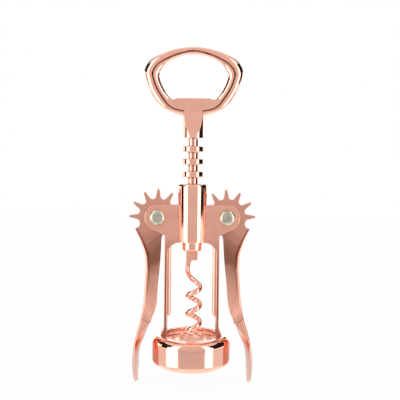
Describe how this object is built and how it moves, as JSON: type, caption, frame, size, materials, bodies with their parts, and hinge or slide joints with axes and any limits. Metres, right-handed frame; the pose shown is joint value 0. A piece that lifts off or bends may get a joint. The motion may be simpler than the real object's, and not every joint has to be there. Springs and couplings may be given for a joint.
{
  "type": "wing corkscrew",
  "caption": "Wing corkscrew with toothed levers driven by a ring-toothed rack, a wire worm, a bell for the bottle's neck and a grip ring with a cap-lifting lip.",
  "frame": {"origin": "centre of the bell's mouth, on the tool axis, in the plane that the bell's lower edge lies in", "axes": "+Z along the tool axis from the bell to the grip ring, +X across the wings to the right as seen from the front, +Y from the front to the back"},
  "size_m": [0.0686, 0.043, 0.1826],
  "materials": {
    "polished_copper_plate": "polished",
    "frame_copper_plate": "polished",
    "satin_copper_plate": "satin",
    "rivet_nickel": "satin",
    "pin_steel": "satin",
    "liner_plastic": "satin"
  },
  "bodies": {
    "frame": {"frame": "frame_copper_plate", "bell": "polished_copper_plate", "bottle_liner": "liner_plastic", "left_rivet": "rivet_nickel", "right_rivet": "rivet_nickel"},
    "rack": {"rack": "polished_copper_plate"},
    "handle": {"handle": "polished_copper_plate", "spindle_pin": "pin_steel", "worm": "polished_copper_plate"},
    "left_lever": {"left_lever": "satin_copper_plate"},
    "right_lever": {"right_lever": "satin_copper_plate"}
  },
  "joints": [
    {"name": "rack_slide", "type": "slide", "parent": "frame", "child": "rack", "axis": [0, 0, -1], "range_m": [0, 0.0336]},
    {"name": "handle_spin", "type": "hinge", "parent": "rack", "child": "handle", "pos_m": [0, 0, 0.13], "axis": [0, 0, 1], "continuous": true},
    {"name": "left_lever_lift", "type": "hinge", "parent": "frame", "child": "left_lever", "pos_m": [-0.01895, 0, 0.0803], "axis": [0, 1, 0], "range_deg": [0, 147.8]},
    {"name": "right_lever_lift", "type": "hinge", "parent": "frame", "child": "right_lever", "pos_m": [0.01895, 0, 0.0803], "axis": [0, -1, 0], "range_deg": [0, 147.8]}
  ],
  "couplings": [
    {"joint": "left_lever_lift", "follows": "rack_slide", "rad_per_m": 76.774},
    {"joint": "right_lever_lift", "follows": "rack_slide", "rad_per_m": 76.774}
  ]
}
